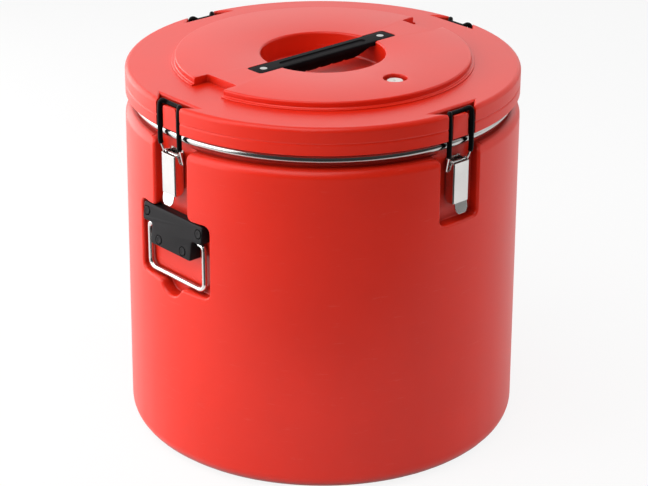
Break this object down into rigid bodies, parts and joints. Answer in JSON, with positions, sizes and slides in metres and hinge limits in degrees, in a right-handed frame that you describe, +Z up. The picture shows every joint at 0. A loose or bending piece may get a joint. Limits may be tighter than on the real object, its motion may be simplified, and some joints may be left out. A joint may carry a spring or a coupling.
{
  "type": "insulated food container",
  "caption": "Round insulated food container with a moulded shell, a steel pot, a lift-off lid held by toggle latches with sleeved wire loops, and drop handles at the sides.",
  "frame": {"origin": "centre of the base, on the ground", "axes": "+Z up along the container's axis, +X through one drop handle, -Y through the vent in the lid"},
  "size_m": [0.4329, 0.433, 0.421],
  "materials": {
    "red_skin": "satin",
    "foam": "matte",
    "pot_steel": "satin",
    "bright_steel": "polished",
    "black_plastic": "satin",
    "sleeve": "satin",
    "gasket": "matte",
    "vent": "satin"
  },
  "bodies": {
    "root": {"outer_shell": "red_skin", "insulation_foam": "foam", "inner_pot": "pot_steel", "latch_rivets": "bright_steel", "bracket_screws": "bright_steel", "bracket_caps": "black_plastic", "latch_base_right": "bright_steel", "latch_base_back": "bright_steel", "latch_base_left": "bright_steel", "latch_base_front": "bright_steel", "latch_pin_right": "bright_steel", "latch_pin_back": "bright_steel", "latch_pin_left": "bright_steel", "latch_pin_front": "bright_steel", "handle_bracket_right": "black_plastic", "handle_bracket_left": "black_plastic"},
    "lid": {"lid_shell": "red_skin", "lid_foam": "foam", "lid_base": "red_skin", "lid_gasket": "gasket", "lid_handle": "black_plastic", "lid_handle_screws": "bright_steel"},
    "vent": {"vent_plug": "vent"},
    "lever_right": {"latch_lever_right": "bright_steel"},
    "loop_right": {"latch_wire_right": "bright_steel", "latch_sleeve_right": "sleeve"},
    "lever_back": {"latch_lever_back": "bright_steel"},
    "loop_back": {"latch_wire_back": "bright_steel", "latch_sleeve_back": "sleeve"},
    "lever_left": {"latch_lever_left": "bright_steel"},
    "loop_left": {"latch_wire_left": "bright_steel", "latch_sleeve_left": "sleeve"},
    "lever_front": {"latch_lever_front": "bright_steel"},
    "loop_front": {"latch_wire_front": "bright_steel", "latch_sleeve_front": "sleeve"},
    "bail_right": {"bail_right": "bright_steel"},
    "bail_left": {"bail_left": "bright_steel"}
  },
  "joints": [
    {"name": "lid_lift", "type": "slide", "parent": "root", "child": "lid", "axis": [0, 0, 1], "range_m": [0, 0.15]},
    {"name": "vent_pull", "type": "slide", "parent": "lid", "child": "vent", "axis": [0, 0, 1], "range_m": [0, 0.005]},
    {"name": "lever_right_open", "type": "hinge", "parent": "root", "child": "lever_right", "pos_m": [0.2063, 0, 0.3548], "axis": [0, -1, 0], "range_deg": [0, 96]},
    {"name": "loop_right_swing", "type": "hinge", "parent": "lever_right", "child": "loop_right", "pos_m": [0.2045, 0, 0.3468], "axis": [0, 1, 0], "range_deg": [0, 216]},
    {"name": "lever_back_open", "type": "hinge", "parent": "root", "child": "lever_back", "pos_m": [0, 0.2063, 0.3548], "axis": [1, 0, 0], "range_deg": [0, 96]},
    {"name": "loop_back_swing", "type": "hinge", "parent": "lever_back", "child": "loop_back", "pos_m": [0, 0.2045, 0.3468], "axis": [-1, 0, 0], "range_deg": [0, 216]},
    {"name": "lever_left_open", "type": "hinge", "parent": "root", "child": "lever_left", "pos_m": [-0.2063, 0, 0.3548], "axis": [0, 1, 0], "range_deg": [0, 96]},
    {"name": "loop_left_swing", "type": "hinge", "parent": "lever_left", "child": "loop_left", "pos_m": [-0.2045, 0, 0.3468], "axis": [0, -1, 0], "range_deg": [0, 216]},
    {"name": "lever_front_open", "type": "hinge", "parent": "root", "child": "lever_front", "pos_m": [0, -0.2063, 0.3548], "axis": [-1, 0, 0], "range_deg": [0, 96]},
    {"name": "loop_front_swing", "type": "hinge", "parent": "lever_front", "child": "loop_front", "pos_m": [0, -0.2045, 0.3468], "axis": [1, 0, 0], "range_deg": [0, 216]},
    {"name": "bail_right_swing", "type": "hinge", "parent": "root", "child": "bail_right", "pos_m": [0.2045, 0, 0.26495], "axis": [0, -1, 0], "range_deg": [0, 90]},
    {"name": "bail_left_swing", "type": "hinge", "parent": "root", "child": "bail_left", "pos_m": [-0.2045, 0, 0.26495], "axis": [0, 1, 0], "range_deg": [0, 90]}
  ],
  "couplings": [
    {"joint": "lever_right_open", "follows": "lid_lift", "rad_per_m": 11.054},
    {"joint": "loop_right_swing", "follows": "lid_lift", "rad_per_m": 25.016},
    {"joint": "lever_back_open", "follows": "lid_lift", "rad_per_m": 11.054},
    {"joint": "loop_back_swing", "follows": "lid_lift", "rad_per_m": 25.016},
    {"joint": "lever_left_open", "follows": "lid_lift", "rad_per_m": 11.054},
    {"joint": "loop_left_swing", "follows": "lid_lift", "rad_per_m": 25.016},
    {"joint": "lever_front_open", "follows": "lid_lift", "rad_per_m": 11.054},
    {"joint": "loop_front_swing", "follows": "lid_lift", "rad_per_m": 25.016}
  ]
}
